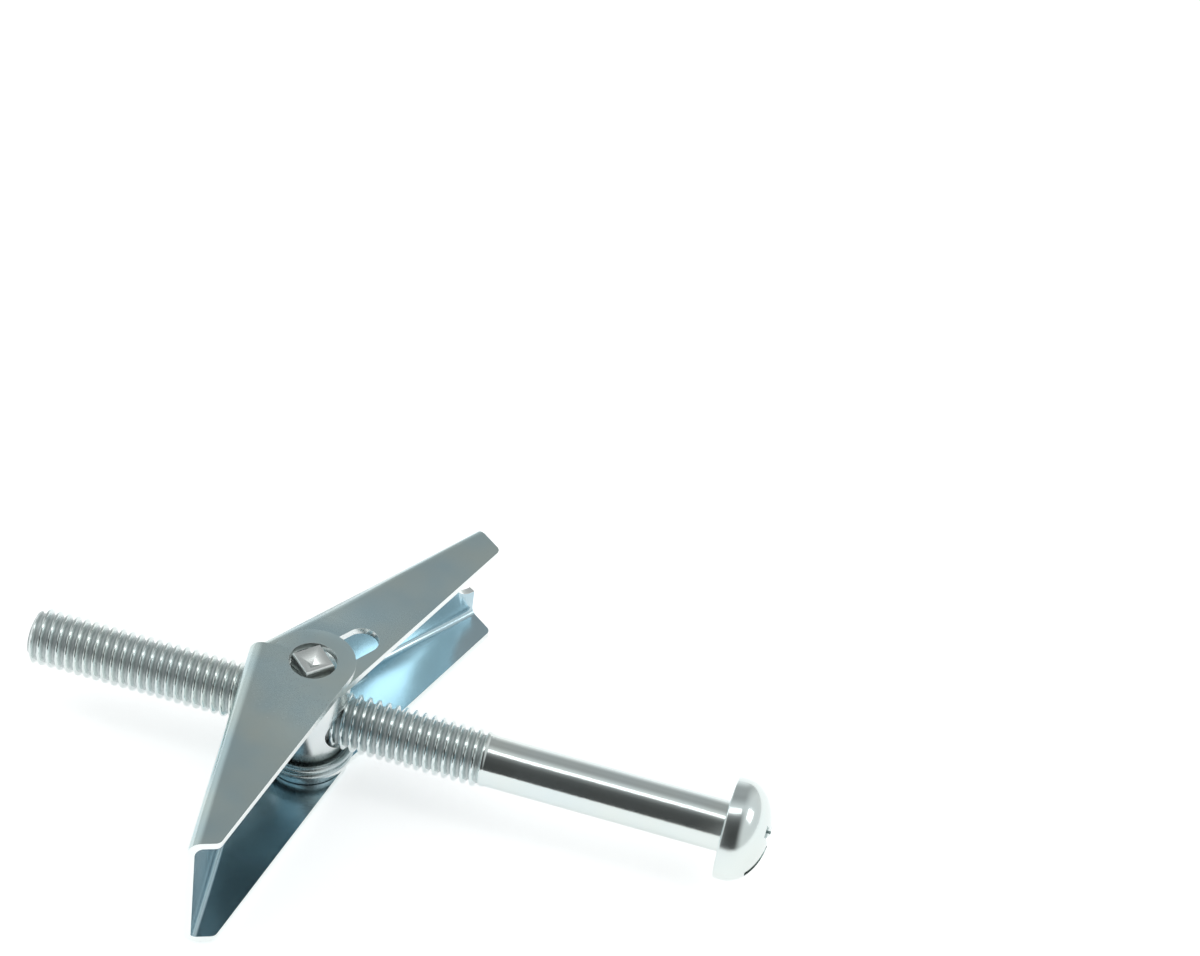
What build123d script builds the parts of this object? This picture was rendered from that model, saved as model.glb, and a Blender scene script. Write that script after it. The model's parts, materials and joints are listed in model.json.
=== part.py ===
from build123d import *
import os
from math import acos, atan2, cos, degrees, hypot, radians, sin, sqrt

# Spring toggle bolt, in millimetres.
# The screw lies along X with its tip towards -X. The origin is the centre of the head's seat.
# The wings turn about an upright axis, +Z, that crosses the screw at the trunnion nut.

# --- Screw -----------------------------------------------------------------------------------
screw_length = 75.0         # head seat to tip
thread_diameter = 6.0
thread_length = 50.0        # from the tip
shank_diameter = 5.4        # plain length under the head
thread_runout = 0.4
tip_chamfer = 0.7
head_diameter = 10.7
head_height = 4.6
head_rim = 1.0              # straight edge of the head, under the dome
recess_depth = 2.8
recess_width = 1.3          # one arm of the cross
recess_span = 5.6           # across the cross at the top of the dome
recess_root = 1.6           # across the cross at its bottom
slot_width = 1.3
slot_depth = 1.5
recess_turn = 28.0          # degrees about the screw

# --- Where the wings sit ---------------------------------------------------------------------
pivot_to_seat = 44.8        # pivot axis to head seat
running_clearance = 0.05    # radial, screw in nut

# --- Folded sheet wings ----------------------------------------------------------------------
sheet = 0.8
bend_radius = 1.5           # outside of the fold
wing_width = 15.0           # over the outer wing's two cheeks
nest_clearance = 0.1        # between the cheeks of the two wings
wing_length = 27.0          # pivot to web tip
ear_radius = 4.4
pivot_hole_radius = 2.5
corner_radius = 0.8
web_notch_clearance = 0.5   # around the screw, at the inner end of each web

outer_web_height = 6.85     # pivot to the outer face of the web
outer_web_overrun = 1.3     # web past the pivot
outer_tip_depth = 3.1       # end edge of a cheek, measured across the wing
outer_tip_setback = 0.95    # and how far its free corner lies behind the fold
outer_sweep = 6.7           # degrees, towards the head

inner_web_height = 6.3
inner_web_overrun = 2.6
inner_tip_depth = 4.3
inner_tip_setback = 0.3
inner_tip_notch_radius = 2.8   # hollow in the outer end of the web; the outer wing has none
inner_sweep = 34.0
entry_slot_width = 3.5      # lets the nut's tang into the hole of the inner wing
entry_slot_reach = 8.2      # pivot to the slot's round end

# --- Trunnion nut ----------------------------------------------------------------------------
barrel_radius = 4.1
barrel_end_gap = 0.1        # barrel end to the inner wing's cheek
barrel_chamfer = 0.4
tang_side = 3.3
tang_stand_out = 0.3        # past the outer wing's cheek
tang_chamfer = 0.6

# --- Torsion spring --------------------------------------------------------------------------
wire_diameter = 0.8
coil_clearance = 0.15       # coil to barrel, and coil to screw
coil_pitch = 0.84
turn_bulge = 0.02           # the close turns are one ring, this much fuller than the wire
full_turns = 2
leg_length = 12.0
leg_gap = 0.15              # leg to web

# --- Worked out ------------------------------------------------------------------------------
thread_radius = thread_diameter / 2
shank_radius = shank_diameter / 2
head_radius = head_diameter / 2
pivot = Vector(-pivot_to_seat, 0, 0)
outer_half = wing_width / 2
inner_half = outer_half - sheet - nest_clearance
barrel_half = inner_half - sheet - barrel_end_gap
tang_half = outer_half + tang_stand_out
web_notch_radius = thread_radius + web_notch_clearance
coil_radius = barrel_radius + coil_clearance + wire_diameter / 2
coil_wall = wire_diameter + 2 * turn_bulge
coil_top = -(thread_radius + coil_clearance + wire_diameter / 2)


def wing_plane(sweep, side):
    """Plane of a wing's outline: x runs out along the wing, y towards its web."""
    along = (sin(radians(sweep)), side * cos(radians(sweep)), 0)
    return Plane(origin=pivot, x_dir=along, z_dir=(0, 0, side))


def folded_channel(plane, half_width, web_height):
    """Sheet folded to a U, as long as the wing and its ear."""
    length = wing_length + ear_radius + 2 * sheet
    depth = web_height + ear_radius + sheet
    start = plane.from_local_coords((-ear_radius - sheet, 0, 0))
    across = Plane(origin=start, x_dir=plane.y_dir, z_dir=plane.x_dir)
    with BuildPart() as channel:
        with BuildSketch(across) as section:
            with Locations((web_height, 0)):
                Rectangle(depth, 2 * half_width, align=(Align.MAX, Align.CENTER))
            fillet(section.vertices().group_by(Axis.X)[-1], bend_radius)
            with Locations((web_height - sheet, 0)):
                inside = (Align.MAX, Align.CENTER)
                Rectangle(depth, 2 * (half_width - sheet), align=inside, mode=Mode.SUBTRACT)
            corners = section.vertices().filter_by_position(
                Axis.X, web_height - 1.01 * sheet, web_height - 0.99 * sheet
            )
            fillet(corners, bend_radius - sheet)
        extrude(amount=length)
    return channel.part


def cheek_outline(plane, web_height, overrun, tip_depth, tip_setback):
    """Side view of a wing: web edge, slanted tip, long free edge and round ear."""
    fold_tip = Vector(wing_length, web_height)
    free_tip = Vector(wing_length - tip_setback, web_height - tip_depth)
    past = sheet / tip_depth
    above_tip = fold_tip + (fold_tip - free_tip) * past
    reach = hypot(free_tip.X, free_tip.Y)
    touch_angle = degrees(atan2(free_tip.Y, free_tip.X) - acos(ear_radius / reach))
    touch = Vector(ear_radius, 0).rotate(Axis.Z, touch_angle)
    shoulder = Vector(-overrun, sqrt(ear_radius**2 - overrun**2))
    shoulder_angle = degrees(atan2(shoulder.Y, shoulder.X))
    with BuildSketch(plane) as outline:
        with BuildLine():
            Polyline(shoulder, (-overrun, web_height + sheet), above_tip, free_tip, touch)
            CenterArc((0, 0), ear_radius, touch_angle, shoulder_angle - 360 - touch_angle)
        make_face()
        fillet(outline.vertices().sort_by_distance(free_tip)[0], corner_radius)
    return outline.sketch


def web_cuts(plane, web_height, tip_notch_radius=0):
    """Outline of the hollows in a web, seen square to it: for the screw and at the tip."""
    facing = Plane(origin=pivot, x_dir=plane.x_dir, z_dir=plane.y_dir).offset(web_height)
    with BuildSketch(facing) as hollows:
        Circle(web_notch_radius)
        Rectangle(2 * ear_radius, 2 * web_notch_radius, align=(Align.MAX, Align.CENTER))
        if tip_notch_radius:
            with Locations((wing_length, 0)):
                Circle(tip_notch_radius)
    return hollows.sketch


def tangent_leg(plane, web_height):
    """Where a spring leg leaves the coil, and where it ends against the web."""
    rest_height = web_height - sheet - leg_gap - wire_diameter / 2
    reach = hypot(leg_length, rest_height)
    leave_angle = atan2(rest_height, leg_length) + acos(coil_radius / reach)
    leave = Vector(coil_radius * cos(leave_angle), coil_radius * sin(leave_angle), 0)
    end = Vector(leg_length, rest_height, 0)
    return plane.from_local_coords(leave), plane.from_local_coords(end)


# --- Screw: one turned and rolled piece ------------------------------------------------------
with BuildPart() as cross_recess:
    top = Plane.YZ.offset(head_height)
    with BuildSketch(top):
        Rectangle(recess_span, recess_width)
        Rectangle(recess_width, recess_span)
    extrude(amount=-recess_depth)
    with BuildSketch(top):
        Circle(recess_span / 2)
    with BuildSketch(top.offset(-recess_depth)):
        Circle(recess_root / 2)
    loft(mode=Mode.INTERSECT)

with BuildPart() as screw:
    with BuildSketch(Plane.XZ):
        with BuildLine():
            tip = -screw_length
            thread_end = tip + thread_length
            Polyline(
                (head_height, 0),
                (tip, 0),
                (tip, thread_radius - tip_chamfer),
                (tip + tip_chamfer, thread_radius),
                (thread_end - thread_runout, thread_radius),
                (thread_end, shank_radius),
                (0, shank_radius),
                (0, head_radius),
                (head_rim, head_radius),
            )
            EllipticalCenterArc((head_rim, 0), head_height - head_rim, head_radius, arc_size=90)
        make_face()
    revolve(axis=Axis.X)
    add(cross_recess.part.rotate(Axis.X, recess_turn), mode=Mode.SUBTRACT)
    with BuildSketch(Plane.YZ.offset(head_height)):
        Rectangle(head_diameter, slot_width, rotation=recess_turn)
    extrude(amount=-slot_depth, mode=Mode.SUBTRACT)

# --- Trunnion nut: barrel across the screw, square tang at each end --------------------------
barrel_plane = Plane(origin=pivot)
with BuildPart() as trunnion_nut:
    with BuildSketch(barrel_plane):
        Circle(barrel_radius)
    extrude(amount=barrel_half, both=True)
    chamfer(trunnion_nut.edges().filter_by(GeomType.CIRCLE), barrel_chamfer)
    with BuildSketch(barrel_plane):
        Rectangle(tang_side, tang_side, rotation=45)
    extrude(amount=tang_half, both=True)
    tang_ends = trunnion_nut.faces().sort_by(Axis.Z)
    chamfer(tang_ends[0].edges() + tang_ends[-1].edges(), tang_chamfer)
    with BuildSketch(Plane(origin=pivot, x_dir=(0, 1, 0), z_dir=(1, 0, 0))):
        Circle(thread_radius + running_clearance)
    extrude(amount=barrel_radius, both=True, mode=Mode.SUBTRACT)

# --- Outer wing: its ears lie outside the inner wing's cheeks --------------------------------
outer_plane = wing_plane(outer_sweep, -1)
with BuildPart() as outer_wing:
    add(folded_channel(outer_plane, outer_half, outer_web_height))
    outline = cheek_outline(
        outer_plane, outer_web_height, outer_web_overrun, outer_tip_depth, outer_tip_setback
    )
    extrude(outline, amount=outer_half, both=True, mode=Mode.INTERSECT)
    with BuildSketch(outer_plane):
        Circle(pivot_hole_radius)
    extrude(amount=outer_half, both=True, mode=Mode.SUBTRACT)
    hollows = web_cuts(outer_plane, outer_web_height)
    extrude(hollows, amount=2 * sheet, both=True, mode=Mode.SUBTRACT)

# --- Inner wing: upper cheek has the tang's entry slot ---------------------------------------
inner_plane = wing_plane(inner_sweep, 1)
with BuildPart() as inner_wing:
    add(folded_channel(inner_plane, inner_half, inner_web_height))
    outline = cheek_outline(
        inner_plane, inner_web_height, inner_web_overrun, inner_tip_depth, inner_tip_setback
    )
    extrude(outline, amount=inner_half, both=True, mode=Mode.INTERSECT)
    with BuildSketch(inner_plane):
        Circle(pivot_hole_radius)
    extrude(amount=inner_half, both=True, mode=Mode.SUBTRACT)
    slot_end = entry_slot_reach - entry_slot_width / 2
    with BuildSketch(inner_plane):
        Rectangle(slot_end, entry_slot_width, align=(Align.MIN, Align.CENTER))
        with Locations((slot_end, 0)):
            Circle(entry_slot_width / 2)
    extrude(amount=inner_half, mode=Mode.SUBTRACT)
    hollows = web_cuts(inner_plane, inner_web_height, inner_tip_notch_radius)
    extrude(hollows, amount=2 * sheet, both=True, mode=Mode.SUBTRACT)

# --- Torsion spring: coil round the barrel under the screw, one leg inside each wing ---------
outer_leave, outer_end = tangent_leg(outer_plane, outer_web_height)
inner_leave, inner_end = tangent_leg(inner_plane, inner_web_height)
top_turn = Vector(0, 0, coil_top)
coil_plane = Plane(origin=pivot + top_turn, x_dir=outer_leave - pivot, z_dir=(0, 0, -1))
inner_seen = coil_plane.to_local_coords(inner_leave)
part_turn = degrees(atan2(inner_seen.Y, inner_seen.X)) % 360 / 360
coil_height = coil_pitch * (full_turns + part_turn)
bottom_turn = top_turn - Vector(0, 0, coil_height)
legs = (
    (outer_end + top_turn, outer_leave + top_turn),
    (inner_end + bottom_turn, inner_leave + bottom_turn),
)
with BuildPart() as torsion_spring:
    with BuildSketch(coil_plane.offset(-coil_wall / 2)):
        Circle(coil_radius + coil_wall / 2)
        Circle(coil_radius - coil_wall / 2, mode=Mode.SUBTRACT)
    extrude(amount=coil_height + coil_wall)
    for leg_tip, leg_root in legs:
        with BuildSketch(Plane(origin=leg_tip, z_dir=leg_root - leg_tip)):
            Circle(wire_diameter / 2)
        extrude(amount=(leg_root - leg_tip).length)

# --- Export: one file for each piece ---------------------------------------------------------
os.makedirs("parts", exist_ok=True)
screw.part.label = "screw"
export_step(screw.part, "parts/screw.step")
trunnion_nut.part.label = "trunnion_nut"
export_step(trunnion_nut.part, "parts/trunnion_nut.step")
outer_wing.part.label = "outer_wing"
export_step(outer_wing.part, "parts/outer_wing.step")
inner_wing.part.label = "inner_wing"
export_step(inner_wing.part, "parts/inner_wing.step")
torsion_spring.part.label = "torsion_spring"
export_step(torsion_spring.part, "parts/torsion_spring.step")
for piece in (screw, trunnion_nut, outer_wing, inner_wing, torsion_spring):
    box = piece.part.bounding_box()
    print(piece.part.label, [round(v, 2) for v in (*box.min, *box.max)], round(piece.part.volume, 2))
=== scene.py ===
# %% [markdown]
# # A spring toggle bolt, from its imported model
#
# The CAD model is loaded as a fixed frame. It says how large the bolt is, where its pivot is
# and which pieces move together. This script puts a finely shaped piece in the place of the
# plain solids and gives each one the finish of zinc-plated steel. All lengths below are in
# millimetres and are turned into metres by one factor, because that is how a maker reads them.

# %% Load the frame
import json
from math import acos, atan2, cos, floor, hypot, pi, radians, sin, sqrt, tau

import bmesh
import bpy
from mathutils import Matrix, Vector


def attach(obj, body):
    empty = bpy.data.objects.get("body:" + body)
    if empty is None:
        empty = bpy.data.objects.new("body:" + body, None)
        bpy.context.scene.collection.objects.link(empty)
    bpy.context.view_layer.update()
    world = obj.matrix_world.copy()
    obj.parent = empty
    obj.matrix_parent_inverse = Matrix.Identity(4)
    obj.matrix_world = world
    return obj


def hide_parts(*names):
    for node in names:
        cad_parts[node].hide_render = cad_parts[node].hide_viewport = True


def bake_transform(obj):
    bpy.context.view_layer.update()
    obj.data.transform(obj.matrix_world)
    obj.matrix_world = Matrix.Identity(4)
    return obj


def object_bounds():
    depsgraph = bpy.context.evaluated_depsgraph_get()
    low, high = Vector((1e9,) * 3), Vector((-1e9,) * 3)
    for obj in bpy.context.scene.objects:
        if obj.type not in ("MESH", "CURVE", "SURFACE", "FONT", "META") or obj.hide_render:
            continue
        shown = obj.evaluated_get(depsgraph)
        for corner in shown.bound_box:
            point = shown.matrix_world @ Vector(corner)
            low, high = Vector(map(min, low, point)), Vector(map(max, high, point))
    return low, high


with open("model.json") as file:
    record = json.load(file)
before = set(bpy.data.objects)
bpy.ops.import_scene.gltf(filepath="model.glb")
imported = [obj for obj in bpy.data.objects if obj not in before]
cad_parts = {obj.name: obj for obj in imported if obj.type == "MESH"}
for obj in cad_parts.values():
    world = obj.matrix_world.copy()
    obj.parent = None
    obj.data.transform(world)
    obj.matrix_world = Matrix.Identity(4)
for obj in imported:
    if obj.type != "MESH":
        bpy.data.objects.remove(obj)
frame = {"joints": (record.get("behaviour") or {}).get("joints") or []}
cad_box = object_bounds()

MM = 0.001
joints = {joint["name"]: joint for joint in frame["joints"]}
pivot = Vector(joints["outer_wing_fold"]["pos_m"]) / MM
print("pivot of the wings, mm:", tuple(round(v, 2) for v in pivot))

# %% [markdown]
# ## The measures
#
# A toggle bolt is sold by its thread. Everything else follows from a few sizes: the sheet, the
# width over the wings, the ear round the pivot and the height of each web above it.

# %% Sizes of the screw
SCREW_LENGTH = 75.0
THREAD_RADIUS = 3.0
THREAD_LENGTH = 50.0
PITCH = 1.0
SHANK_RADIUS = 2.7
TIP_CHAMFER = 0.7
HEAD_RADIUS = 5.35
HEAD_HEIGHT = 4.6
HEAD_RIM = 1.0
print("screw M%g x %g, pitch %g" % (2 * THREAD_RADIUS, SCREW_LENGTH, PITCH))

# %% Sizes of the folded wings
SHEET = 0.8
BEND_RADIUS = 1.5
OUTER_HALF_WIDTH = 7.5
INNER_HALF_WIDTH = 6.6
WING_LENGTH = 27.0
EAR_RADIUS = 4.4
HOLE_RADIUS = 2.5
CORNER_RADIUS = 0.8
SCREW_NOTCH = 3.5
outer_shape = dict(half=OUTER_HALF_WIDTH, web=6.85, overrun=1.3, tip_depth=3.1, setback=0.95,
                   tip_notch=0.0)
inner_shape = dict(half=INNER_HALF_WIDTH, web=6.3, overrun=2.6, tip_depth=4.3, setback=0.3,
                   tip_notch=2.8)
OUTER_SWEEP = radians(6.7)
INNER_SWEEP = radians(34.0)
SLOT_HALF_WIDTH = 1.75
SLOT_REACH = 8.2
SHEARED_EDGE = 0.14
BEND_STEPS = 10
SHEAR_ANGLE = 1.2
print("folded wings, width over cheeks:", 2 * OUTER_HALF_WIDTH, 2 * INNER_HALF_WIDTH)

# %% [markdown]
# ## Tools for meshes
#
# Each piece is made from plain lists of corners and faces. Smooth shading with sharp edges past
# a set angle keeps flats flat and rounds round, and a weighted normal modifier stops the large
# flats from picking up a false gradient beside their narrow bevels.


# %% Make an object from a mesh
def finish_object(name, bm, body, nodes, sharp=35.0):
    """A piece from a mesh in millimetres, with the body it rides and the solids it stands for."""
    bmesh.ops.remove_doubles(bm, verts=bm.verts, dist=1e-4)
    bmesh.ops.recalc_face_normals(bm, faces=bm.faces)
    bmesh.ops.scale(bm, vec=(MM, MM, MM), verts=bm.verts)
    mesh = bpy.data.meshes.new(name)
    bm.to_mesh(mesh)
    bm.free()
    mesh.shade_smooth()
    mesh.set_sharp_from_angle(angle=radians(sharp))
    piece = bpy.data.objects.new(name, mesh)
    bpy.context.scene.collection.objects.link(piece)
    if body:
        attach(piece, body)
    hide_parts(*nodes)
    print(name, len(mesh.polygons), "faces")
    return piece


def weight_normals(piece):
    modifier = piece.modifiers.new("weighted_normals", "WEIGHTED_NORMAL")
    modifier.keep_sharp = True


def join_rings(bm, low, high):
    """Faces between two closed rings of as many corners."""
    count = len(low)
    for j in range(count):
        k = (j + 1) % count
        bm.faces.new((low[j], low[k], high[k], high[j]))


# %% Cut one shape out of another
CUT_SHARP = 40.0


def tool_object(name, bm):
    """A cutter, drawn in millimetres, which is used once and thrown away."""
    bmesh.ops.scale(bm, vec=(MM, MM, MM), verts=bm.verts)
    mesh = bpy.data.meshes.new(name)
    bm.to_mesh(mesh)
    bm.free()
    return bpy.data.objects.new(name, mesh)


def cut_away(piece, tool):
    bpy.context.scene.collection.objects.link(tool)
    modifier = piece.modifiers.new("cut", "BOOLEAN")
    modifier.operation = "DIFFERENCE"
    modifier.solver = "EXACT"
    modifier.object = tool
    bpy.context.view_layer.update()
    evaluated = piece.evaluated_get(bpy.context.evaluated_depsgraph_get())
    result = bpy.data.meshes.new_from_object(evaluated)
    piece.modifiers.remove(modifier)
    piece.data = result
    bpy.data.objects.remove(tool)
    piece.data.shade_smooth()
    piece.data.set_sharp_from_angle(angle=radians(CUT_SHARP))


# %% [markdown]
# ## The folded sheet wings
#
# A wing is stamped as one flat blank and folded twice. The model is made in the same order: the
# blank's outline is drawn flat, filled, given its thickness and its slightly rounded sheared
# edges, and only then bent. So holes, notches and edges stay true through the folds.


# %% Round a corner of an outline
def rounded(before, corner, after, radius, steps=6):
    """Points of an arc that replaces a corner."""
    back, ahead = (before - corner).normalized(), (after - corner).normalized()
    half = acos(max(-1.0, min(1.0, back.dot(ahead)))) / 2
    middle = corner + (back + ahead).normalized() * radius / sin(half)
    first = corner + back * radius * cos(half) / sin(half) - middle
    last = corner + ahead * radius * cos(half) / sin(half) - middle
    turn = atan2(first.x * last.y - first.y * last.x, first.dot(last))
    points = []
    for k in range(steps + 1):
        a = turn * k / steps
        x = first.x * cos(a) - first.y * sin(a)
        y = first.x * sin(a) + first.y * cos(a)
        points.append(middle + Vector((x, y)))
    return points


# %% Lay the outline of a wing out flat
def blank_sizes(shape):
    """Where the bend starts and ends, measured across the flat blank from the web's middle."""
    bend_start = shape["half"] - BEND_RADIUS
    bend_end = bend_start + pi / 2 * (BEND_RADIUS - SHEET / 2)
    return bend_start, bend_end


def across(shape, height):
    """Distance across the blank of a point of the cheek at that height above the pivot."""
    return blank_sizes(shape)[1] + shape["web"] - BEND_RADIUS - height


def half_outline(shape):
    """Right half of the blank, from the tip's hollow round to the screw's notch: (along, across)."""
    bend_start = blank_sizes(shape)[0]
    free_height = shape["web"] - shape["tip_depth"]
    free_along = WING_LENGTH - shape["setback"]
    reach = hypot(free_along, free_height)
    touch = atan2(free_height, free_along) - acos(EAR_RADIUS / reach)
    shoulder = sqrt(EAR_RADIUS**2 - shape["overrun"] ** 2)
    points = []
    steps = 20 if shape["tip_notch"] else 0
    for k in range(1, steps + 1):
        a, r = pi / 2 * k / steps, shape["tip_notch"]
        points.append(Vector((WING_LENGTH - r * cos(a), r * sin(a))))
    fold_tip = Vector((WING_LENGTH, bend_start))
    free_tip = Vector((free_along, across(shape, free_height)))
    ear_start = Vector((EAR_RADIUS * cos(touch), across(shape, EAR_RADIUS * sin(touch))))
    points.append(fold_tip)
    points += rounded(fold_tip, free_tip, ear_start, CORNER_RADIUS)
    around = atan2(shoulder, -shape["overrun"]) - tau - touch
    steps = 48
    for k in range(steps + 1):
        a = touch + around * k / steps
        points.append(Vector((EAR_RADIUS * cos(a), across(shape, EAR_RADIUS * sin(a)))))
    inner_corner = Vector((-shape["overrun"], bend_start))
    points.append(inner_corner)
    points.append(Vector((-shape["overrun"], SCREW_NOTCH)))
    steps = 16
    for k in range(steps):
        a = pi / 2 * (1 - k / steps)
        points.append(Vector((SCREW_NOTCH * cos(a), SCREW_NOTCH * sin(a))))
    return points


def pivot_hole(shape, slotted):
    """Hole for the tang, with the entry slot where the wing has one."""
    opening = atan2(SLOT_HALF_WIDTH, sqrt(HOLE_RADIUS**2 - SLOT_HALF_WIDTH**2)) if slotted else 0
    steps = 48
    ring = []
    for k in range(steps + (1 if slotted else 0)):
        a = opening + (tau - 2 * opening) * k / steps
        ring.append(Vector((HOLE_RADIUS * cos(a), across(shape, HOLE_RADIUS * sin(a)))))
    if slotted:
        centre = SLOT_REACH - SLOT_HALF_WIDTH
        for k in range(17):
            a = -pi / 2 + pi * k / 16
            along = centre + SLOT_HALF_WIDTH * cos(a)
            ring.append(Vector((along, across(shape, SLOT_HALF_WIDTH * sin(a)))))
    return ring


# %% Bend the blank
def bent(shape, along, flat, lift):
    """Place of a blank's point once folded: along the wing, height over the pivot, sideways."""
    bend_start, bend_end = blank_sizes(shape)
    side = 1 if flat >= 0 else -1
    run = abs(flat)
    neutral = BEND_RADIUS - SHEET / 2
    if run <= bend_start:
        return along, shape["web"] - SHEET / 2 + lift, flat
    if run <= bend_end:
        a = (run - bend_start) / neutral
        height = shape["web"] - BEND_RADIUS + (neutral + lift) * cos(a)
        return along, height, side * (bend_start + (neutral + lift) * sin(a))
    height = shape["web"] - BEND_RADIUS - (run - bend_end)
    return along, height, side * (shape["half"] - SHEET / 2 + lift)


def add_loop(bm, points):
    corners = [bm.verts.new((p.x, p.y, 0)) for p in points]
    for a, b in zip(corners, corners[1:] + corners[:1]):
        bm.edges.new((a, b))


def folded_wing(shape, slotted_side, along_dir, web_dir, side_dir):
    """The blank with its thickness and sheared edges, marked by skin, and then bent in place."""
    bm = bmesh.new()
    half = half_outline(shape)
    mirrored = [Vector((p.x, -p.y)) for p in reversed(half)]
    tip_middle = [Vector((WING_LENGTH - shape["tip_notch"], 0))]
    notch_middle = [Vector((SCREW_NOTCH, 0))]
    add_loop(bm, tip_middle + half + notch_middle + mirrored)
    for side in (1, -1):
        ring = pivot_hole(shape, side == slotted_side)
        add_loop(bm, [Vector((p.x, side * p.y)) for p in ring])
    bmesh.ops.triangle_fill(bm, use_beauty=True, edges=bm.edges[:])
    bend_start, bend_end = blank_sizes(shape)
    for side in (1, -1):
        for k in range(BEND_STEPS + 1):
            place = bend_start + (bend_end - bend_start) * k / BEND_STEPS
            bmesh.ops.bisect_plane(
                bm, geom=bm.verts[:] + bm.edges[:] + bm.faces[:], dist=1e-5,
                plane_co=(0, side * place, 0), plane_no=(0, 1, 0),
            )
    bmesh.ops.recalc_face_normals(bm, faces=bm.faces)
    if bm.faces[0].normal.z < 0:
        bmesh.ops.reverse_faces(bm, faces=bm.faces)
    lower = bmesh.ops.duplicate(bm, geom=bm.verts[:] + bm.edges[:] + bm.faces[:])
    lower_geom = set(lower["geom"])
    top_edges = [e for e in bm.edges if e.is_boundary and e not in lower_geom]
    twin = lower["vert_map"]
    lower_faces = [f for f in lower["geom"] if isinstance(f, bmesh.types.BMFace)]
    for v in bm.verts:
        v.co.z = -SHEET / 2 if v in lower_geom else SHEET / 2
    bmesh.ops.reverse_faces(bm, faces=lower_faces)
    for edge in top_edges:
        a, b = edge.verts
        bm.faces.new((b, a, twin[a], twin[b]))
    bmesh.ops.recalc_face_normals(bm, faces=bm.faces)
    bm.normal_update()
    sheared = [e for e in bm.edges if len(e.link_faces) == 2 and e.calc_face_angle() > SHEAR_ANGLE
               and abs(e.verts[0].co.z - e.verts[1].co.z) < 1e-6]
    bmesh.ops.bevel(bm, geom=sheared, offset=SHEARED_EDGE, segments=3, profile=0.5,
                    affect="EDGES", clamp_overlap=True)
    # Marks for the material: the inner skin gets a bluer film with painted shade inside the folds,
    # and the sheared rim a painted highlight.
    inner_film_and_shade = bm.verts.layers.float.new("inner_film_and_shade")
    cut_edge_highlight = bm.verts.layers.float.new("cut_edge_highlight")
    for v in bm.verts:
        on_skin = abs(v.co.z) > SHEET / 2 - 1e-4
        v[cut_edge_highlight] = 0.0 if on_skin else 1.0
        v[inner_film_and_shade] = 1.0 if on_skin and v.co.z < 0 else 0.0
        along, height, sideways = bent(shape, v.co.x, v.co.y, v.co.z)
        v.co = pivot + along_dir * along + web_dir * height + side_dir * sideways
    return bm


# %% Make the two wings
def wing_directions(sweep, side):
    """Directions out along a wing, up towards its web and across it."""
    along = Vector((sin(sweep), side * cos(sweep), 0))
    web = Vector((-cos(sweep), side * sin(sweep), 0))
    return along, web, Vector((0, 0, 1))


outer_wing = finish_object(
    "outer_wing_sheet", folded_wing(outer_shape, 0, *wing_directions(OUTER_SWEEP, -1)),
    "outer_wing", ["outer_wing"])
inner_wing = finish_object(
    "inner_wing_sheet", folded_wing(inner_shape, 1, *wing_directions(INNER_SWEEP, 1)),
    "inner_wing", ["inner_wing"])
for wing in (outer_wing, inner_wing):
    weight_normals(wing)

# %% [markdown]
# ## The screw
#
# A rolled thread is a helix, so a stack of rings would look wrong at its ends and in its
# highlights. The surface is a grid wrapped round the axis. Each point's radius comes from how
# far it is along one pitch, shifted by its angle, and that shift is what makes the helix. The
# plain shank and the domed head are more rows of the same grid, so the screw is one closed skin.

# %% Thread profile
SEGMENTS = 64
ROWS_PER_PITCH = 14
CREST_SHARE = 0.20
ROOT_SHARE = 0.22
THREAD_DEPTH = 0.55
RUNOUT = 1.2
NECK_FILLET = 0.15
HEAD_EDGE = 0.22
ROUND_STEPS = 5
DOME_STEPS = 34


def thread_fall(phase):
    """How far below the crest the thread is, from 0 at the crest to 1 at the root."""
    distance = abs(phase - floor(phase) - 0.5) * 2
    flank = (1 - CREST_SHARE - ROOT_SHARE)
    fall = 1 - (distance - ROOT_SHARE) / flank
    fall = max(0.0, min(1.0, fall))
    return fall * fall * (3 - 2 * fall) * 0.5 + fall * 0.5


def screw_radius(x, angle):
    """Radius of the screw at a place along it and an angle round it."""
    from_tip = x + SCREW_LENGTH
    to_end = THREAD_LENGTH - from_tip
    crest = THREAD_RADIUS - max(0.0, TIP_CHAMFER - from_tip)
    depth = THREAD_DEPTH * min(1.0, max(0.0, to_end / RUNOUT))
    thread = crest - depth * thread_fall(from_tip / PITCH - angle / tau)
    if to_end < RUNOUT:
        share = max(0.0, to_end / RUNOUT)
        thread = thread * share + SHANK_RADIUS * (1 - share)
    return max(thread, THREAD_RADIUS - THREAD_DEPTH - TIP_CHAMFER / 2)


# %% Rows of the screw's skin
def screw_rows():
    """Each row is a place along the screw and, off the thread, a plain radius."""
    rows = []
    count = int(THREAD_LENGTH / PITCH * ROWS_PER_PITCH)
    for k in range(count + 1):
        rows.append((-SCREW_LENGTH + THREAD_LENGTH * k / count, None))
    plain_length = SCREW_LENGTH - THREAD_LENGTH
    shank_steps = 8
    for k in range(1, shank_steps + 1):
        stop = NECK_FILLET if k == shank_steps else 0
        rows.append((-plain_length + plain_length * k / shank_steps - stop, SHANK_RADIUS))
    for k in range(1, ROUND_STEPS + 1):
        a = pi / 2 * k / ROUND_STEPS
        rows.append((-NECK_FILLET * (1 - sin(a)), SHANK_RADIUS + NECK_FILLET * (1 - cos(a))))
    rows.append((0.0, HEAD_RADIUS - HEAD_EDGE))
    for k in range(1, ROUND_STEPS + 1):
        a = pi / 2 * k / ROUND_STEPS
        rows.append((HEAD_EDGE * (1 - cos(a)), HEAD_RADIUS - HEAD_EDGE * (1 - sin(a))))
    dome = HEAD_HEIGHT - HEAD_RIM
    for k in range(DOME_STEPS):
        a = pi / 2 * k / DOME_STEPS
        rows.append((HEAD_RIM + dome * sin(a), HEAD_RADIUS * cos(a)))
    return rows


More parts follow.
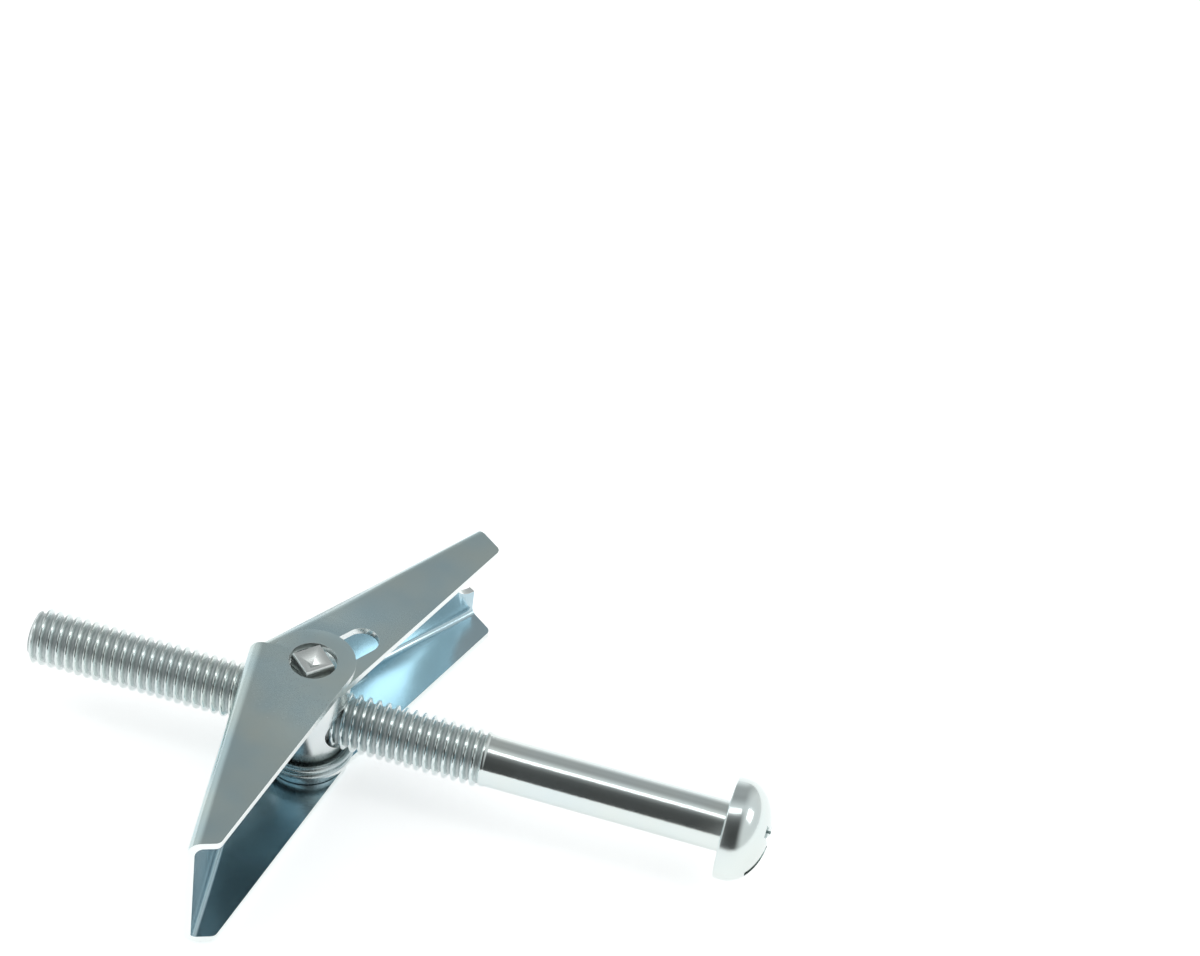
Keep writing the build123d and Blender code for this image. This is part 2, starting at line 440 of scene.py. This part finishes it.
def ring_of(bm, x, radius):
    ring = []
    for j in range(SEGMENTS):
        a = tau * j / SEGMENTS
        r = screw_radius(x, a) if radius is None else radius
        ring.append(bm.verts.new((x, r * cos(a), r * sin(a))))
    return ring


def screw_skin():
    bm = bmesh.new()
    rings = [ring_of(bm, x, radius) for x, radius in screw_rows()]
    for low, high in zip(rings, rings[1:]):
        join_rings(bm, low, high)
    tip_centre = bm.verts.new((-SCREW_LENGTH, 0, 0))
    crown = bm.verts.new((HEAD_HEIGHT, 0, 0))
    for j in range(SEGMENTS):
        k = (j + 1) % SEGMENTS
        bm.faces.new((rings[0][k], rings[0][j], tip_centre))
        bm.faces.new((rings[-1][j], rings[-1][k], crown))
    return bm


# %% [markdown]
# ## The driver recess
#
# The head takes a cross-head or a flat driver. The recess is punched, so it is cut from the
# finished dome by subtraction: a tapering cross, and a shallower slot from side to side.

# %% Cutters for the recess
CROSS_SPAN = 2.9
CROSS_HALF_WIDTH = 0.65
CROSS_DEPTH = 2.8
CROSS_ROOT_SPAN = 0.8
CROSS_ROOT_HALF_WIDTH = 0.55
CROSS_FLARE = 0.3
DRIVER_SLOT_WIDTH = 1.3
DRIVER_SLOT_DEPTH = 1.5
RECESS_TURN = radians(28.0)
CLEAR_OF_HEAD = 0.5


def cross_section(bm, x, span, half_width):
    pattern = [(span, -half_width), (span, half_width), (half_width, half_width)]
    ring = []
    for quarter in range(4):
        turn = RECESS_TURN + quarter * pi / 2
        for y, z in pattern:
            ring.append(bm.verts.new((
                x, y * cos(turn) - z * sin(turn), y * sin(turn) + z * cos(turn))))
    return ring


def cross_cutter():
    bm = bmesh.new()
    root = cross_section(bm, HEAD_HEIGHT - CROSS_DEPTH, CROSS_ROOT_SPAN, CROSS_ROOT_HALF_WIDTH)
    mouth = cross_section(bm, HEAD_HEIGHT + CLEAR_OF_HEAD, CROSS_SPAN + CROSS_FLARE,
                          CROSS_HALF_WIDTH)
    join_rings(bm, root, mouth)
    bm.faces.new(list(reversed(root)))
    bm.faces.new(mouth)
    bmesh.ops.recalc_face_normals(bm, faces=bm.faces)
    return tool_object("cross_tool", bm)


def slot_cutter():
    height, length = 4.0, 14.0
    bm = bmesh.new()
    bmesh.ops.create_cube(bm, size=1.0)
    bmesh.ops.scale(bm, vec=(height, length, DRIVER_SLOT_WIDTH), verts=bm.verts)
    bmesh.ops.rotate(bm, matrix=Matrix.Rotation(RECESS_TURN, 3, "X"), verts=bm.verts)
    middle = HEAD_HEIGHT - DRIVER_SLOT_DEPTH + height / 2
    bmesh.ops.translate(bm, vec=(middle, 0, 0), verts=bm.verts)
    return tool_object("slot_tool", bm)


# %% Make the screw and punch its head
screw = finish_object("machine_screw", screw_skin(), "screw", ["screw"], 60)
cut_away(screw, cross_cutter())
cut_away(screw, slot_cutter())
print("screw faces:", len(screw.data.polygons))

# %% [markdown]
# ## The trunnion nut
#
# The nut is a short turned barrel, tapped across for the screw, with a square tang at each end
# for the wings to turn on. The ends of the tangs are struck with a four-sided punch, which
# spreads them a little, so the wings can't slip off. The punch leaves four sloping facets.

# %% Sizes of the nut
BARREL_RADIUS = 4.1
BARREL_HALF = 5.7
BARREL_EDGE = 0.4
EDGE_BREAK = 0.12
QUARTER = 18
TANG_HALF = 7.8
TANG_REACH = 3.3 / sqrt(2)
SHOULDER_DROP = 0.30
CREST_INSET = 0.25
LIP_INSET = 0.42
PUNCH_DEPTH = 0.95
BORE_RADIUS = 3.05
BORE_LENGTH = 12.0


# %% Barrel and tangs
def square_ring(bm, z, reach):
    """Corners of a square about the pivot, one of them along the screw."""
    return [bm.verts.new((pivot.x + reach * cos(pi / 2 * k), reach * sin(pi / 2 * k), z))
            for k in range(4)]


def barrel_ring(bm, z, radius):
    count = 4 * QUARTER
    turns = [tau * j / count for j in range(count)]
    return [bm.verts.new((pivot.x + radius * cos(a), radius * sin(a), z)) for a in turns]


def nut_solid():
    bm = bmesh.new()
    half_rows = [(BARREL_HALF, BARREL_RADIUS - BARREL_EDGE),
                 (BARREL_HALF - EDGE_BREAK, BARREL_RADIUS - EDGE_BREAK),
                 (BARREL_HALF - BARREL_EDGE, BARREL_RADIUS)]
    rows = [(-z, r) for z, r in half_rows] + list(reversed(half_rows))
    rings = [barrel_ring(bm, z, r) for z, r in rows]
    for low, high in zip(rings, rings[1:]):
        join_rings(bm, low, high)
    for side, ring in ((-1, rings[0]), (1, rings[-1])):
        base = square_ring(bm, side * BARREL_HALF, TANG_REACH)
        shoulder = square_ring(bm, side * (TANG_HALF - SHOULDER_DROP), TANG_REACH)
        crest = square_ring(bm, side * TANG_HALF, TANG_REACH - CREST_INSET)
        lip = square_ring(bm, side * TANG_HALF, TANG_REACH - LIP_INSET)
        punched = bm.verts.new((pivot.x, 0, side * (TANG_HALF - PUNCH_DEPTH)))
        for low, high in ((base, shoulder), (shoulder, crest), (crest, lip)):
            join_rings(bm, low, high)
        for k in range(4):
            bm.faces.new((lip[k], lip[(k + 1) % 4], punched))
            quarter = [ring[(QUARTER * k + j) % len(ring)] for j in range(QUARTER + 1)]
            bm.faces.new(quarter + [base[(k + 1) % 4], base[k]])
    return bm


# %% Bore the nut across for the screw
def bore_cutter():
    bm = bmesh.new()
    bmesh.ops.create_cone(bm, cap_ends=True, segments=64, radius1=BORE_RADIUS,
                          radius2=BORE_RADIUS, depth=BORE_LENGTH)
    bmesh.ops.rotate(bm, matrix=Matrix.Rotation(pi / 2, 3, "Y"), verts=bm.verts)
    bmesh.ops.translate(bm, vec=(pivot.x, 0, 0), verts=bm.verts)
    return tool_object("bore_tool", bm)


nut = finish_object("trunnion_nut_turned", nut_solid(), "nut", ["trunnion_nut"],
                    30)
cut_away(nut, bore_cutter())
print("nut faces:", len(nut.data.polygons))

# %% [markdown]
# ## The torsion spring
#
# The spring is one wire: a straight leg inside the outer wing, about two turns round the nut's
# barrel, and a leg inside the inner wing. When a wing folds, its leg goes with it and the coil
# winds up. The wire is made in two halves that meet in the coil, each running from the nut to
# its own wing.

# %% Route of the wire
WIRE_RADIUS = 0.4
COIL_CLEARANCE = 0.15
COIL_RADIUS = BARREL_RADIUS + COIL_CLEARANCE + WIRE_RADIUS
COIL_PITCH = 0.84
COIL_TOP = -(THREAD_RADIUS + COIL_CLEARANCE + WIRE_RADIUS)
FULL_TURNS = 2
LEG_LENGTH = 12.0
LEG_GAP = 0.15
LEG_STEPS = 24
COIL_STEPS = 110
END_TAPER = 0.8


def leg_points(shape, sweep, side):
    """Where the leg leaves the coil and where it ends, seen from the pivot."""
    along, web, _ = wing_directions(sweep, side)
    height = shape["web"] - SHEET - LEG_GAP - WIRE_RADIUS
    angle = atan2(height, LEG_LENGTH) + acos(COIL_RADIUS / hypot(LEG_LENGTH, height))
    leave = (along * cos(angle) + web * sin(angle)) * COIL_RADIUS
    return leave, along * LEG_LENGTH + web * height


outer_leave, outer_end = leg_points(outer_shape, OUTER_SWEEP, -1)
inner_leave, inner_end = leg_points(inner_shape, INNER_SWEEP, 1)
start_angle = atan2(outer_leave.y, outer_leave.x)
part_turn = ((start_angle - atan2(inner_leave.y, inner_leave.x)) % tau) / tau
coil_turns = FULL_TURNS + part_turn
print("turns of the spring:", round(coil_turns, 3))


def coil_point(share):
    """Point of the coil, from 0 at the outer wing's leg to 1 at the inner wing's."""
    a = start_angle - tau * coil_turns * share
    drop = COIL_TOP - COIL_PITCH * coil_turns * share
    return pivot + Vector((COIL_RADIUS * cos(a), COIL_RADIUS * sin(a), drop))


def wire_half(leave, end, level, first, last):
    """Points of half the wire, from the end of its leg to the middle of the coil."""
    points = []
    leg_end = pivot + end + Vector((0, 0, level))
    leg_root = pivot + leave + Vector((0, 0, level))
    for k in range(LEG_STEPS):
        points.append(leg_end.lerp(leg_root, k / LEG_STEPS))
    for k in range(COIL_STEPS + 1):
        points.append(coil_point(first + (last - first) * k / COIL_STEPS))
    return points


# %% Draw a wire along its route
def wire_mesh(points, radius, sides=16):
    """A round tube along the points, a little smaller where the wire was cut."""
    bm = bmesh.new()
    rings = []
    across_wire = Vector((0, 0, 1))
    for k, point in enumerate(points):
        ahead = points[min(k + 1, len(points) - 1)] - points[max(k - 1, 0)]
        ahead.normalize()
        across_wire = (across_wire - ahead * across_wire.dot(ahead)).normalized()
        other = ahead.cross(across_wire)
        size = radius * END_TAPER if k == 0 else radius
        ring = []
        for j in range(sides):
            a = tau * j / sides
            offset = (across_wire * cos(a) + other * sin(a)) * size
            ring.append(bm.verts.new(point + offset))
        rings.append(ring)
    for low, high in zip(rings, rings[1:]):
        join_rings(bm, low, high)
    bm.faces.new(list(reversed(rings[0])))
    bm.faces.new(rings[-1])
    return bm


# %% Make the two halves, each running from the nut to its wing
coil_bottom = COIL_TOP - COIL_PITCH * coil_turns
spring_halves = (
    ("spring_outer_half", outer_leave, outer_end, COIL_TOP, 0.0, 0.5, "outer_wing"),
    ("spring_inner_half", inner_leave, inner_end, coil_bottom, 1.0, 0.5, "inner_wing"),
)
springs = []
for name, leave, end, level, first, last, wing_body in spring_halves:
    route = wire_half(leave, end, level, first, last)
    half = finish_object(name, wire_mesh(route, WIRE_RADIUS), None, ["torsion_spring"])
    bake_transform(half)
    springs.append(half)

# %% [markdown]
# ## Zinc plating
#
# Every piece is zinc-plated steel, but each looks different. The sheet is satin and blue-grey,
# with faint straw and blue tints from the passivation. The screw is bright. So the effects that
# they share are node groups with named inputs, and each material sets its own values.


# %% Tools for nodes
def new_group(name, inputs, outputs):
    tree = bpy.data.node_groups.new(name, "ShaderNodeTree")
    for socket_name, kind, default in inputs:
        socket = tree.interface.new_socket(socket_name, in_out="INPUT", socket_type=kind)
        socket.default_value = default
    for socket_name, kind in outputs:
        tree.interface.new_socket(socket_name, in_out="OUTPUT", socket_type=kind)
    return tree, tree.nodes.new("NodeGroupInput"), tree.nodes.new("NodeGroupOutput")


def place(tree, kind, **settings):
    node = tree.nodes.new(kind)
    for key, value in settings.items():
        setattr(node, key, value)
    return node


def math_node(tree, operation, first, second=None, clamp=False):
    node = place(tree, "ShaderNodeMath", operation=operation, use_clamp=clamp)
    for slot_index, value in enumerate((first, second)):
        if value is None:
            continue
        if isinstance(value, (int, float)):
            node.inputs[slot_index].default_value = value
        else:
            tree.links.new(value, node.inputs[slot_index])
    return node.outputs[0]


def spread(tree, value, low, high, to_low, to_high):
    """Carry a value from one range over to another, held at its ends."""
    node = place(tree, "ShaderNodeMapRange", clamp=True)
    tree.links.new(value, node.inputs["Value"])
    node.inputs["From Min"].default_value = low
    node.inputs["From Max"].default_value = high
    for name, target in (("To Min", to_low), ("To Max", to_high)):
        if isinstance(target, (int, float)):
            node.inputs[name].default_value = target
        else:
            tree.links.new(target, node.inputs[name])
    return node.outputs[0]


def mix_sockets(node):
    """Factor, A, B and Result of a colour Mix node."""
    color_in = [s for s in node.inputs if s.type == "RGBA"]
    color_out = [s for s in node.outputs if s.type == "RGBA"][0]
    return node.inputs[0], color_in[0], color_in[1], color_out


FLOAT, COLOR, VECTOR = "NodeSocketFloat", "NodeSocketColor", "NodeSocketVector"
FINE_SHARE, CLOUD_SHARE = 0.35, 0.65
# Painted shade in the thread roots: how far past the thread's end it fades, how it falls off with
# depth, and the roughness added there.
SHADE_RUN = 1.0
ROOT_FALLOFF = 1.6
ROOT_ROUGHNESS = 0.55
BUMP_HEIGHT = 0.5


# %% Passivation tint: soft clouds of blue and straw over the plating
def build_tint():
    tree, start, end = new_group(
        "passivation_tint",
        [("Base", COLOR, (0.5, 0.5, 0.5, 1)), ("Blue", COLOR, (0.3, 0.4, 0.6, 1)),
         ("Straw", COLOR, (0.7, 0.65, 0.4, 1)), ("Scale", FLOAT, 100.0),
         ("Amount", FLOAT, 0.3)],
        [("Color", COLOR)])
    place_in = place(tree, "ShaderNodeTexCoord")
    links = tree.links.new
    color = start.outputs["Base"]
    for seed, name in ((0.0, "Blue"), (7.3, "Straw")):
        cloud = place(tree, "ShaderNodeTexNoise", noise_dimensions="4D")
        links(place_in.outputs["Object"], cloud.inputs["Vector"])
        links(start.outputs["Scale"], cloud.inputs["Scale"])
        cloud.inputs["W"].default_value = seed
        cloud.inputs["Detail"].default_value = 2.0
        mask = spread(tree, cloud.outputs[0], 0.40, 0.72, 0.0, start.outputs["Amount"])
        mix = place(tree, "ShaderNodeMix", data_type="RGBA")
        factor, first, second, result = mix_sockets(mix)
        links(mask, factor)
        links(color, first)
        links(start.outputs[name], second)
        color = result
    links(color, end.inputs["Color"])
    return tree


# %% Rolled grain: very fine frost in the gloss, and the slow waviness of thin sheet
def build_grain():
    tree, start, end = new_group(
        "rolled_grain",
        [("Stretch", VECTOR, (1.0, 1.0, 1.0)), ("Scale", FLOAT, 5000.0),
         ("Rough Low", FLOAT, 0.2), ("Rough High", FLOAT, 0.3), ("Wave Scale", FLOAT, 60.0),
         ("Wave", FLOAT, 1.0), ("Grain", FLOAT, 0.02)],
        [("Roughness", FLOAT), ("Height", FLOAT)])
    links = tree.links.new
    place_in = place(tree, "ShaderNodeTexCoord")
    mapping = place(tree, "ShaderNodeVectorMath", operation="MULTIPLY")
    links(place_in.outputs["Object"], mapping.inputs[0])
    links(start.outputs["Stretch"], mapping.inputs[1])
    fine = place(tree, "ShaderNodeTexNoise")
    links(mapping.outputs[0], fine.inputs["Vector"])
    links(start.outputs["Scale"], fine.inputs["Scale"])
    fine.inputs["Detail"].default_value = 3.0
    cloud = place(tree, "ShaderNodeTexNoise")
    links(place_in.outputs["Object"], cloud.inputs["Vector"])
    links(start.outputs["Wave Scale"], cloud.inputs["Scale"])
    cloud.inputs["Detail"].default_value = 0.0
    mean = math_node(tree, "ADD", math_node(tree, "MULTIPLY", fine.outputs[0], FINE_SHARE),
                     math_node(tree, "MULTIPLY", cloud.outputs[0], CLOUD_SHARE))
    rough = spread(tree, mean, 0.3, 0.7, start.outputs["Rough Low"],
                   start.outputs["Rough High"])
    links(rough, end.inputs["Roughness"])
    height = math_node(tree, "ADD",
                       math_node(tree, "MULTIPLY", cloud.outputs[0], start.outputs["Wave"]),
                       math_node(tree, "MULTIPLY", fine.outputs[0], start.outputs["Grain"]))
    links(height, end.inputs["Height"])
    return tree


# %% Painted shade in the thread roots: the colour turns grey low in the thread, where shade falls
def build_painted_root_shade():
    tree, start, end = new_group(
        "thread_root_painted_shade",
        [("Color", COLOR, (0.7, 0.7, 0.7, 1)), ("Root Shade Color", COLOR, (0.2, 0.22, 0.23, 1)),
         ("Crest Radius", FLOAT, THREAD_RADIUS * MM), ("Depth", FLOAT, THREAD_DEPTH * MM)],
        [("Color", COLOR), ("Mask", FLOAT)])
    links = tree.links.new
    place_in = place(tree, "ShaderNodeTexCoord")
    split = place(tree, "ShaderNodeSeparateXYZ")
    links(place_in.outputs["Object"], split.inputs[0])
    squares = math_node(tree, "ADD", math_node(tree, "POWER", split.outputs[1], 2.0),
                        math_node(tree, "POWER", split.outputs[2], 2.0))
    radius = math_node(tree, "SQRT", squares)
    below = math_node(tree, "SUBTRACT", start.outputs["Crest Radius"], radius)
    share = math_node(tree, "DIVIDE", below, start.outputs["Depth"], clamp=True)
    thread_end = -(SCREW_LENGTH - THREAD_LENGTH) * MM
    on_thread = spread(tree, split.outputs[0], thread_end - SHADE_RUN * MM, thread_end, 1.0, 0.0)
    # The mask is painted shade: it grows with depth below the crest and fades out past the thread's
    # end.
    mask = math_node(tree, "MULTIPLY", math_node(tree, "POWER", share, ROOT_FALLOFF),
                     on_thread)
    mix = place(tree, "ShaderNodeMix", data_type="RGBA")
    factor, first, second, result = mix_sockets(mix)
    links(mask, factor)
    links(start.outputs["Color"], first)
    links(start.outputs["Root Shade Color"], second)
    links(result, end.inputs["Color"])
    links(mask, end.inputs["Mask"])
    return tree


# %% Build the shared groups
tint_group = build_tint()
grain_group = build_grain()
painted_root_shade_group = build_painted_root_shade()
print("node groups:", [g.name for g in bpy.data.node_groups])


# %% A zinc-plated finish
def zinc(name, colors, tint_scale, tint_amount, stretch, rough, wave, grain):
    """Metal with the shared tint and grain. Colours are the plating, blue film and straw film."""
    material = bpy.data.materials.new(name)
    material.use_nodes = True
    tree = material.node_tree
    shader = tree.nodes["Principled BSDF"]
    shader.inputs["Metallic"].default_value = 1.0
    links = tree.links.new
    tint = place(tree, "ShaderNodeGroup", node_tree=tint_group)
    for socket, value in zip(("Base", "Blue", "Straw"), colors):
        tint.inputs[socket].default_value = (*value, 1)
    tint.inputs["Scale"].default_value = tint_scale
    tint.inputs["Amount"].default_value = tint_amount
    links(tint.outputs["Color"], shader.inputs["Base Color"])
    frost = place(tree, "ShaderNodeGroup", node_tree=grain_group)
    frost.inputs["Stretch"].default_value = stretch
    frost.inputs["Rough Low"].default_value = rough[0]
    frost.inputs["Rough High"].default_value = rough[1]
    frost.inputs["Wave"].default_value = wave
    frost.inputs["Grain"].default_value = grain
    links(frost.outputs["Roughness"], shader.inputs["Roughness"])
    height = place(tree, "ShaderNodeBump")
    height.inputs["Strength"].default_value = 1.0
    height.inputs["Distance"].default_value = BUMP_HEIGHT * MM
    links(frost.outputs["Height"], height.inputs["Height"])
    links(height.outputs["Normal"], shader.inputs["Normal"])
    return material, tree, tint, shader


# %% [markdown]
# ## The four finishes
#
# The wings are barrel-plated sheet. Inside the folds their colour is darker and bluer, partly a
# bluer film and partly painted shade, and a painted highlight brightens the sheared edges. Two
# marks on the mesh say where those are. The screw is the brightest piece, because rolling leaves
# it smooth, and its thread has painted shade and a duller gloss low down. The nut is cut from
# drawn bar, whose grain runs along its axis. The spring is drawn wire, which plates a little
# darker.

# %% Sheet: a bluer film and painted shade inside the folds, and a painted highlight on the sheared edges
sheet_colors = ((0.54, 0.67, 0.69), (0.38, 0.55, 0.63), (0.68, 0.70, 0.60))
sheet_finish, tree, tint, shader = zinc(
    "satin_zinc_sheet", sheet_colors, 130.0, 0.55, (1.0, 1.0, 1.0), (0.14, 0.32), 6.0, 0.010)
# Inside the folds the tone is darker and bluer: a bluer film with painted shade. The sheared edges
# get a painted highlight, a near-white tone.
marks = (("inner_film_and_shade", 0.85, (0.46, 0.61, 0.68, 1)), ("cut_edge_highlight", 0.90, (0.90, 0.93, 0.92, 1)))
color = tint.outputs["Color"]
for mark, share, tone in marks:
    where = place(tree, "ShaderNodeAttribute", attribute_name=mark)
    film = place(tree, "ShaderNodeMix", data_type="RGBA")
    factor, first, second, result = mix_sockets(film)
    tree.links.new(math_node(tree, "MULTIPLY", where.outputs["Fac"], share), factor)
    tree.links.new(color, first)
    second.default_value = tone
    color = result
tree.links.new(color, shader.inputs["Base Color"])

# %% Screw: bright plating, with painted shade and a duller gloss low in the thread
screw_colors = ((0.72, 0.79, 0.79), (0.60, 0.70, 0.74), (0.80, 0.80, 0.70))
screw_finish, tree, tint, shader = zinc(
    "bright_zinc_screw", screw_colors, 120.0, 0.3, (0.25, 1.0, 1.0), (0.11, 0.22), 0.35, 0.005)
# Painted shade: a greyer colour low in the thread, by depth below the crest.
root = place(tree, "ShaderNodeGroup", node_tree=painted_root_shade_group)
tree.links.new(tint.outputs["Color"], root.inputs["Color"])
root.inputs["Root Shade Color"].default_value = (0.60, 0.65, 0.65, 1)
tree.links.new(root.outputs["Color"], shader.inputs["Base Color"])
polish = shader.inputs["Roughness"].links[0].from_socket
dull = math_node(tree, "MULTIPLY", root.outputs["Mask"], ROOT_ROUGHNESS)
tree.links.new(math_node(tree, "MAXIMUM", polish, dull), shader.inputs["Roughness"])

# %% Nut and spring wire
nut_colors = ((0.78, 0.82, 0.82), (0.60, 0.68, 0.72), (0.80, 0.80, 0.70))
nut_finish = zinc(
    "bright_zinc_nut", nut_colors, 150.0, 0.35, (1.0, 1.0, 0.3), (0.14, 0.26), 0.3, 0.004)[0]
wire_colors = ((0.50, 0.58, 0.60), (0.36, 0.48, 0.54), (0.60, 0.60, 0.50))
wire_finish = zinc(
    "zinc_spring_wire", wire_colors, 150.0, 0.35, (1.0, 1.0, 1.0), (0.20, 0.32), 0.2, 0.004)[0]


# %% Put each finish on its pieces
def dress(piece, material):
    piece.data.materials.clear()
    piece.data.materials.append(material)


dress(outer_wing, sheet_finish)
dress(inner_wing, sheet_finish)
dress(screw, screw_finish)
for half in springs:
    dress(half, wire_finish)
dress(nut, nut_finish)
print("materials:", [m.name for m in (sheet_finish, screw_finish, nut_finish, wire_finish)])

# %% [markdown]
# ## The studio
#
# Polished metal shows its surroundings more than its own colour. So the room matters. It is
# white behind the bolt, grey above that, bright again overhead and dark in front, with pale
# walls to the left and right. The dark front draws the deep band along the shank. The floor
# glows alike for the camera and for reflections, so the metal shows the floor seen around it.

# %% Floor
floor_mesh = bpy.data.meshes.new("floor")
FLOOR_REACH = 30.0
FLOOR_GLOW = 0.58
reach, level = FLOOR_REACH, cad_box[0][2]
floor_mesh.from_pydata(
    [(-reach, -reach, level), (reach, -reach, level), (reach, reach, level),
     (-reach, reach, level)], [], [(0, 1, 2, 3)])
studio_floor = bpy.data.objects.new("studio_floor", floor_mesh)
bpy.context.scene.collection.objects.link(studio_floor)
floor_finish = bpy.data.materials.new("pale_floor")
floor_finish.use_nodes = True
floor_tree = floor_finish.node_tree
floor_shader = floor_tree.nodes["Principled BSDF"]
floor_shader.inputs["Base Color"].default_value = (0.86, 0.86, 0.86, 1)
floor_shader.inputs["Roughness"].default_value = 0.9
floor_shader.inputs["Specular IOR Level"].default_value = 0.1
glow = place(floor_tree, "ShaderNodeEmission")
glow.inputs["Color"].default_value = (1, 1, 1, 1)
path = place(floor_tree, "ShaderNodeLightPath")
seen = math_node(floor_tree, "MAXIMUM", path.outputs["Is Camera Ray"],
                 path.outputs["Is Glossy Ray"])
seen = math_node(floor_tree, "MAXIMUM", seen, path.outputs["Is Transmission Ray"])
seen = math_node(floor_tree, "MULTIPLY", seen, FLOOR_GLOW)
floor_tree.links.new(seen, glow.inputs["Strength"])
together = place(floor_tree, "ShaderNodeAddShader")
floor_tree.links.new(floor_shader.outputs[0], together.inputs[0])
floor_tree.links.new(glow.outputs[0], together.inputs[1])
floor_tree.links.new(together.outputs[0], floor_tree.nodes["Material Output"].inputs[0])
studio_floor.data.materials.append(floor_finish)

# %% Room: tones from behind the bolt, over it and down to the front
world = bpy.data.worlds.new("room")
bpy.context.scene.world = world
world.use_nodes = True
room = world.node_tree
background = room.nodes["Background"]
FRONT = radians(-80.64)
TONES = ((-1.0, 1.00), (-0.97, 0.70), (-0.92, 0.48), (-0.84, 0.42), (-0.70, 0.43),
         (-0.55, 0.38), (-0.40, 0.46), (-0.20, 0.74), (-0.08, 0.74), (0.10, 0.50),
         (0.30, 0.20), (0.50, 0.10), (0.80, 0.07), (1.0, 0.07))
RED_SHARE = 0.97
way = place(room, "ShaderNodeTexCoord")
toward = place(room, "ShaderNodeVectorMath", operation="DOT_PRODUCT")
room.links.new(way.outputs["Generated"], toward.inputs[0])
toward.inputs[1].default_value = (cos(FRONT), sin(FRONT), 0)
ramp = place(room, "ShaderNodeValToRGB")
for k, (where, tone) in enumerate(TONES):
    at = (where + 1) / 2
    if k == 0:
        element = ramp.color_ramp.elements[0]
    elif k == len(TONES) - 1:
        element = ramp.color_ramp.elements[-1]
    else:
        element = ramp.color_ramp.elements.new(at)
    element.position = at
    element.color = (tone * RED_SHARE, tone, tone, 1)
room.links.new(spread(room, toward.outputs["Value"], -1, 1, 0, 1), ramp.inputs[0])

# %% Pale walls to the left and right
WALL_START, WALL_FULL = 0.30, 0.65
WALL_TONE = (0.78, 0.80, 0.80, 1)
sideways = place(room, "ShaderNodeVectorMath", operation="DOT_PRODUCT")
room.links.new(way.outputs["Generated"], sideways.inputs[0])
sideways.inputs[1].default_value = (-sin(FRONT), cos(FRONT), 0)
off_axis = math_node(room, "ABSOLUTE", sideways.outputs["Value"])
walls = place(room, "ShaderNodeMix", data_type="RGBA")
factor, first, second, result = mix_sockets(walls)
room.links.new(spread(room, off_axis, WALL_START, WALL_FULL, 0.0, 1.0), factor)
room.links.new(ramp.outputs[0], first)
second.default_value = WALL_TONE
room.links.new(result, background.inputs["Color"])


# %% Lamps
LAMP_AIM = Vector((-30, 0, 0))
LAMP_DISTANCE = 450.0


def soft_lamp(name, around, above, size_mm, radiance):
    """A soft box, given by its direction and how bright its face is."""
    lamp = bpy.data.lights.new(name, "AREA")
    lamp.shape = "RECTANGLE"
    lamp.size, lamp.size_y = size_mm[0] * MM, size_mm[1] * MM
    lamp.energy = radiance * pi * lamp.size * lamp.size_y
    holder = bpy.data.objects.new(name, lamp)
    a, e = radians(around), radians(above)
    way_out = Vector((cos(e) * cos(a), cos(e) * sin(a), sin(e)))
    holder.location = (LAMP_AIM + way_out * LAMP_DISTANCE) * MM
    holder.rotation_euler = (-way_out).to_track_quat("-Z", "Y").to_euler()
    bpy.context.scene.collection.objects.link(holder)
    print(name, "power", round(lamp.energy, 3), "W")


soft_lamp("top_softbox", -80, 88, (300, 90), 1.6)
soft_lamp("right_softbox", 10, 35, (160, 160), 2.2)
soft_lamp("left_softbox", 175, 40, (160, 160), 1.6)

# %% [markdown]
# ## The camera
#
# The bolt is seen from above and from the side of its outer wing, turned a little, with a long
# lens. The camera's place is given by how far round, how high and how far it is from the point
# that it looks at.

# %% Camera
LOOK_AT = Vector((-22.11, 23.26, 20.67))
DISTANCE = 385.0
AROUND = FRONT
ABOVE = radians(43.447)
ROLL = radians(8.585)
camera_data = bpy.data.cameras.new("camera")
camera_data.lens = 111.7
camera_data.sensor_width = 36.0
camera_data.clip_start = 0.01
camera = bpy.data.objects.new("camera", camera_data)
away = Vector((cos(ABOVE) * cos(AROUND), cos(ABOVE) * sin(AROUND), sin(ABOVE)))
camera.location = (LOOK_AT + away * DISTANCE) * MM
turned = (-away).to_track_quat("-Z", "Y").to_matrix() @ Matrix.Rotation(ROLL, 3, "Z")
camera.rotation_euler = turned.to_euler()
bpy.context.scene.collection.objects.link(camera)
bpy.context.scene.camera = camera
bpy.context.scene.view_settings.view_transform = "Standard"
print("camera at, mm:", tuple(round(v / MM, 1) for v in camera.location))
